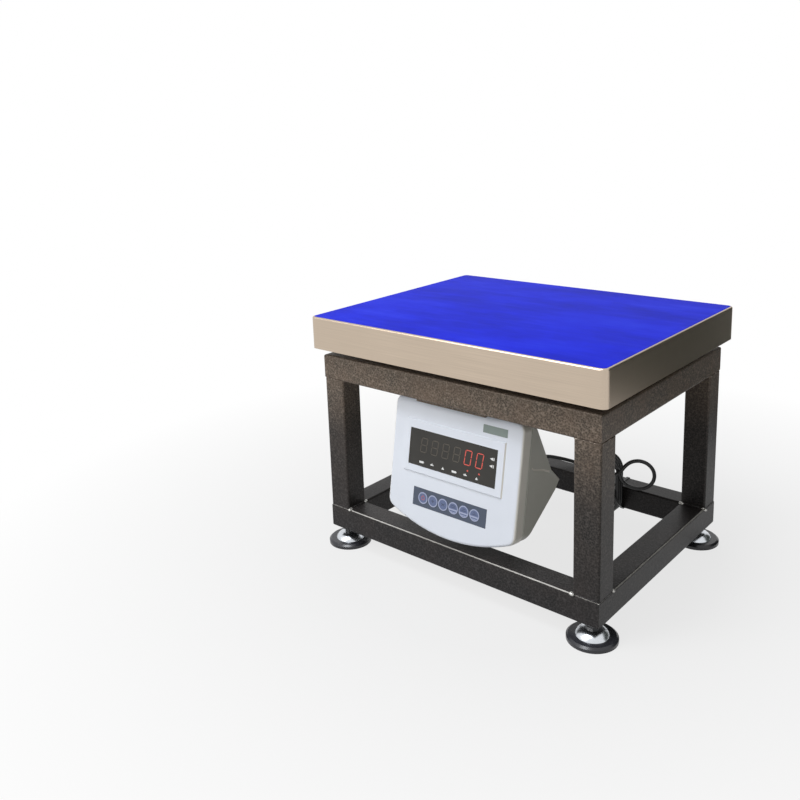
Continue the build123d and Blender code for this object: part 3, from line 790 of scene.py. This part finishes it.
for name, (x, y) in CORNERS.items():
    weld_loop(f"weld_low_{name}", x, y, LOW_TOP)
    weld_loop(f"weld_top_{name}", x, y, LEG_TOP)
    weld_spots(f"weld_spots_{name}", x, y, LOW_TOP)


# Mains cord: from the indicator to the rear rail, the turns of the hank, the loop, the plug

HANK = Vector((0.079, 0.136, 0.072))
FOLD = 0.022
HANK_HALF = 0.0485
HANK_TURNS = 3
HANK_BACK = 0.1452
HANK_FRONT = 0.1257
HANK_STEPS = 63
HANK_SKIP = 3
HANK_FROM = radians(38)
HANK_TO = radians(128)
SPREAD = 1.039
CORD = 0.006

lead_points = [
    (0.0450, -0.1183, 0.1201),
    (0.0450, -0.0990, 0.0900),
    (0.0330, -0.0580, 0.0720),
    (0.0100, -0.0080, 0.0660),
    (-0.0180, 0.0440, 0.0680),
    (-0.0440, 0.0960, 0.0760),
    (-0.0560, 0.1460, 0.0840),
    (-0.0180, 0.1750, 0.0750),
    (0.0270, 0.1780, 0.0700),
    (0.0473, 0.1721, 0.0789),
    (0.0566, 0.1609, 0.0897),
    (0.0571, 0.1509, 0.1004),
    (0.0615, 0.1463, 0.1123),
    (0.0714, 0.1447, 0.1197),
    (0.0837, 0.1443, 0.1207),
]


def oval(distance):
    """A point at a distance round the hank's upright oval, from the middle of its left side."""
    flank = HANK_HALF - FOLD
    s = distance % (2 * pi * FOLD + 4 * flank)
    if s < flank:
        return -FOLD, s
    s -= flank
    if s < pi * FOLD:
        turn = pi - s / FOLD
        return FOLD * SPREAD * cos(turn), flank + FOLD * SPREAD * sin(turn)
    s -= pi * FOLD
    if s < 2 * flank:
        return FOLD, flank - s
    s -= 2 * flank
    if s < pi * FOLD:
        turn = -s / FOLD
        return FOLD * SPREAD * cos(turn), -flank + FOLD * SPREAD * sin(turn)
    return -FOLD, s - pi * FOLD - flank


round_hank = 2 * pi * FOLD + 4 * (HANK_HALF - FOLD)
hank_start = HANK_HALF - FOLD + FOLD * HANK_FROM
hank_end = HANK_TURNS * round_hank + HANK_HALF - FOLD + FOLD * HANK_TO
hank_points = []
for i in range(HANK_SKIP, HANK_STEPS - HANK_SKIP):
    share = i / HANK_STEPS
    across, rise = oval(hank_start + (hank_end - hank_start) * share)
    depth = HANK_BACK + (HANK_FRONT - HANK_BACK) * share
    hank_points.append((HANK.x + across, depth, HANK.z + rise))

loop_points = [
    (0.0599, 0.1266, 0.1115),
    (0.0690, 0.1261, 0.1195),
    (0.0808, 0.1257, 0.1213),
    (0.0914, 0.1251, 0.1171),
    (0.0991, 0.1244, 0.1097),
    (0.1060, 0.1269, 0.0991),
    (0.1072, 0.1315, 0.0860),
    (0.1106, 0.1372, 0.0774),
    (0.1173, 0.1428, 0.0714),
    (0.1263, 0.1477, 0.0688),
    (0.1359, 0.1516, 0.0703),
    (0.1444, 0.1543, 0.0756),
    (0.1504, 0.1557, 0.0840),
    (0.1529, 0.1556, 0.0942),
    (0.1516, 0.1538, 0.1045),
    (0.1466, 0.1505, 0.1132),
    (0.1387, 0.1461, 0.1189),
    (0.1296, 0.1409, 0.1205),
    (0.1209, 0.1353, 0.1180),
    (0.1146, 0.1296, 0.1119),
    (0.1095, 0.1220, 0.1021),
    (0.0996, 0.1178, 0.0953),
    (0.0881, 0.1158, 0.0930),
    (0.0772, 0.1151, 0.0902),
    (0.0667, 0.1145, 0.0825),
    (0.0600, 0.1145, 0.0694),
    (0.0600, 0.1145, 0.0602),
]
cord_points = lead_points + hank_points + loop_points


def cord_curve(name, points, radius):
    """A round tube along a smooth line that follows the points."""
    data = bpy.data.curves.new(name, "CURVE")
    data.dimensions = "3D"
    data.bevel_depth = radius
    data.bevel_resolution = 5
    data.resolution_u = 8
    data.use_fill_caps = True
    line = data.splines.new("NURBS")
    line.points.add(len(points) - 1)
    for spot, p in zip(line.points, points):
        spot.co = (*p, 1)
    line.order_u = 3
    line.use_endpoint_u = True
    piece = bpy.data.objects.new(name, data)
    bpy.context.collection.objects.link(piece)
    return piece


cord = cord_curve("cord", cord_points, CORD / 2)
cord.data.materials.append(cable)
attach(cord, "frame")
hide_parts("mains_cord", "cord_hank")


# Strain relief: a ribbed sleeve that tapers along the start of the cord

RIB_RINGS = 6
GROOVE = 0.0006
SLEEVE_SIDES = 24


def sleeve(name, points, reach, wide, narrow, ribs):
    p0, p1, p2 = (Vector(p) for p in points[:3])
    bm = bmesh.new()
    rows = []
    rings = ribs * RIB_RINGS
    for i in range(rings + 1):
        t = reach * i / rings
        spot = p0 * (1 - t) ** 2 + p1 * (2 * t - 1.5 * t**2) + p2 * (0.5 * t**2)
        ahead = (p0 * (2 * t - 2) + p1 * (2 - 3 * t) + p2 * t).normalized()
        side = ahead.cross(Vector((1, 0, 0))).normalized()
        other = ahead.cross(side)
        groove = GROOVE * (1 if i % RIB_RINGS in (4, 5) and i < rings - 4 else 0)
        radius = wide + (narrow - wide) * i / rings - groove
        row = []
        for k in range(SLEEVE_SIDES):
            a = 2 * pi * k / SLEEVE_SIDES
            row.append(bm.verts.new(spot + (side * cos(a) + other * sin(a)) * radius))
        rows.append(row)
    join_rings(bm, rows, closed=False)
    bm.faces.new(list(reversed(rows[0])))
    bm.faces.new(rows[-1])
    solid(name, bm, cable, "frame", smooth=True)


sleeve("strain_relief", cord_points, 0.52, 0.0058, 0.0036, 6)


# Tie: a flat band round the rail that crosses the hank's near strands

TIE_WIDE = 0.0045
TIE_THICK = 0.0012
TIE_BEND = 0.0022
BEND_STEPS = 4


def flat_band(name, corners, wide, thick):
    """A closed flat band through corner points, with its width along the X axis."""
    spots = []
    for i, corner in enumerate(corners):
        here, before = Vector(corner), Vector(corners[i - 1])
        after = Vector(corners[(i + 1) % len(corners)])
        start = here + (before - here).normalized() * TIE_BEND
        end = here + (after - here).normalized() * TIE_BEND
        for k in range(BEND_STEPS + 1):
            t = k / BEND_STEPS
            spots.append(start * (1 - t) ** 2 + here * (2 * t * (1 - t)) + end * t**2)
    bm = bmesh.new()
    rows = []
    for i, spot in enumerate(spots):
        ahead = (spots[(i + 1) % len(spots)] - spots[i - 1]).normalized()
        out = Vector((1, 0, 0)).cross(ahead).normalized()
        across = ahead.cross(out).normalized()
        row = []
        for a, b in ((-1, -1), (1, -1), (1, 1), (-1, 1)):
            row.append(bm.verts.new(spot + across * (wide / 2 * a) + out * (thick / 2 * b)))
        rows.append(row)
    join_rings(bm, rows)
    return solid(name, bm, cable, "frame")


tie = flat_band(
    "tie_band",
    [
        (0.0930, 0.1478, 0.0666),
        (0.0940, 0.1222, 0.0620),
        (0.1048, 0.1222, 0.0480),
        (0.1015, 0.1478, 0.0274),
        (0.1015, 0.1866, 0.0274),
        (0.0930, 0.1866, 0.0666),
    ],
    TIE_WIDE,
    TIE_THICK,
)
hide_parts("cord_tie")


# Floor, light and air


def seen_directly(nodes, links):
    """1 for what the camera sees, straight or in gloss or glass."""
    path = nodes.new("ShaderNodeLightPath")
    first = maths(
        nodes, links, "MAXIMUM", path.outputs["Is Camera Ray"], path.outputs["Is Glossy Ray"]
    )
    return maths(nodes, links, "MAXIMUM", first, path.outputs["Is Transmission Ray"])


def flat_piece(name, corners):
    """A flat piece of the stage."""
    bm = bmesh.new()
    bm.faces.new([bm.verts.new(c) for c in corners])
    mesh = bpy.data.meshes.new(name)
    bm.to_mesh(mesh)
    bm.free()
    piece = bpy.data.objects.new(name, mesh)
    bpy.context.collection.objects.link(piece)
    return piece


floor = flat_piece("floor", [(-6, -6, 0), (6, -6, 0), (6, 6, 0), (-6, 6, 0)])
mat, nodes, links, shader = tree("floor")
shader.inputs["Base Color"].default_value = (*grey(0.40), 1)
shader.inputs["Roughness"].default_value = 0.9
shader.inputs["Specular IOR Level"].default_value = 0.1
where = nodes.new("ShaderNodeTexCoord")
far = nodes.new("ShaderNodeVectorMath")
far.operation = "LENGTH"
links.new(where.outputs["Object"], far.inputs[0])
fade = nodes.new("ShaderNodeMapRange")
fade.inputs["From Min"].default_value = 0.30
fade.inputs["From Max"].default_value = 0.95
fade.inputs["To Min"].default_value = 0.76
fade.inputs["To Max"].default_value = 1.0
links.new(far.outputs["Value"], fade.inputs["Value"])
paper = nodes.new("ShaderNodeEmission")
paper.inputs["Color"].default_value = (*grey(1), 1)
paper.inputs["Strength"].default_value = 1.0
blend = nodes.new("ShaderNodeMixShader")
share = maths(nodes, links, "MULTIPLY", seen_directly(nodes, links), fade.outputs["Result"])
links.new(share, blend.inputs["Fac"])
links.new(shader.outputs["BSDF"], blend.inputs[1])
links.new(paper.outputs["Emission"], blend.inputs[2])
links.new(blend.outputs["Shader"], nodes["Material Output"].inputs["Surface"])
floor.data.materials.append(mat)

# A dark panel behind at the right, that only shows in gloss
shade = flat_piece(
    "shade_panel", [(0.32, 0.6, 0.0), (2.0, 0.6, 0.0), (2.0, 0.6, 0.9), (0.32, 0.6, 0.9)]
)
mat, nodes, links, shader = tree("shade_panel")
shader.inputs["Base Color"].default_value = (0.045, 0.052, 0.046, 1)
shader.inputs["Roughness"].default_value = 0.9
shade.data.materials.append(mat)
shade.visible_camera = False
shade.visible_diffuse = False
shade.visible_shadow = False


def lamp(name, place, target, size, power, colour):
    """A round soft lamp aimed at a point."""
    data = bpy.data.lights.new(name, "AREA")
    data.shape = "DISK"
    data.size = size
    data.energy = power
    data.color = colour
    light = bpy.data.objects.new(name, data)
    bpy.context.collection.objects.link(light)
    light.location = place
    aim = Vector(target) - Vector(place)
    light.rotation_euler = aim.to_track_quat("-Z", "Y").to_euler()


lamp("key", (-0.9, -1.9, 1.5), (0, 0, 0.2), 1.2, 27, (1.0, 0.97, 0.93))
lamp("top", (-0.2, -0.9, 2.2), (0, -0.1, 0.2), 1.0, 26, (0.93, 0.96, 1.0))

world = bpy.data.worlds.new("world")
bpy.context.scene.world = world
world.use_nodes = True
nodes, links = world.node_tree.nodes, world.node_tree.links
back = nodes["Background"]
seen = nodes.new("ShaderNodeMixShader")
white = nodes.new("ShaderNodeBackground")
white.inputs["Color"].default_value = (*grey(1), 1)
white.inputs["Strength"].default_value = 1.0
where = nodes.new("ShaderNodeTexCoord")
split = nodes.new("ShaderNodeSeparateXYZ")
links.new(where.outputs["Generated"], split.inputs["Vector"])
leftward = nodes.new("ShaderNodeMath")
leftward.operation = "MULTIPLY_ADD"
leftward.inputs[1].default_value = -0.5
leftward.inputs[2].default_value = 0.5
links.new(split.outputs["X"], leftward.inputs[0])
sky = [(0.1, (0.38, 0.372, 0.33)), (0.7, (0.84, 0.85, 0.87))]
links.new(ramp(nodes, links, leftward.outputs["Value"], sky), back.inputs["Color"])
back.inputs["Strength"].default_value = 0.58
links.new(seen_directly(nodes, links), seen.inputs["Fac"])
links.new(back.outputs["Background"], seen.inputs[1])
links.new(white.outputs["Background"], seen.inputs[2])
links.new(seen.outputs["Shader"], nodes["World Output"].inputs["Surface"])

bpy.context.scene.view_settings.view_transform = "Standard"
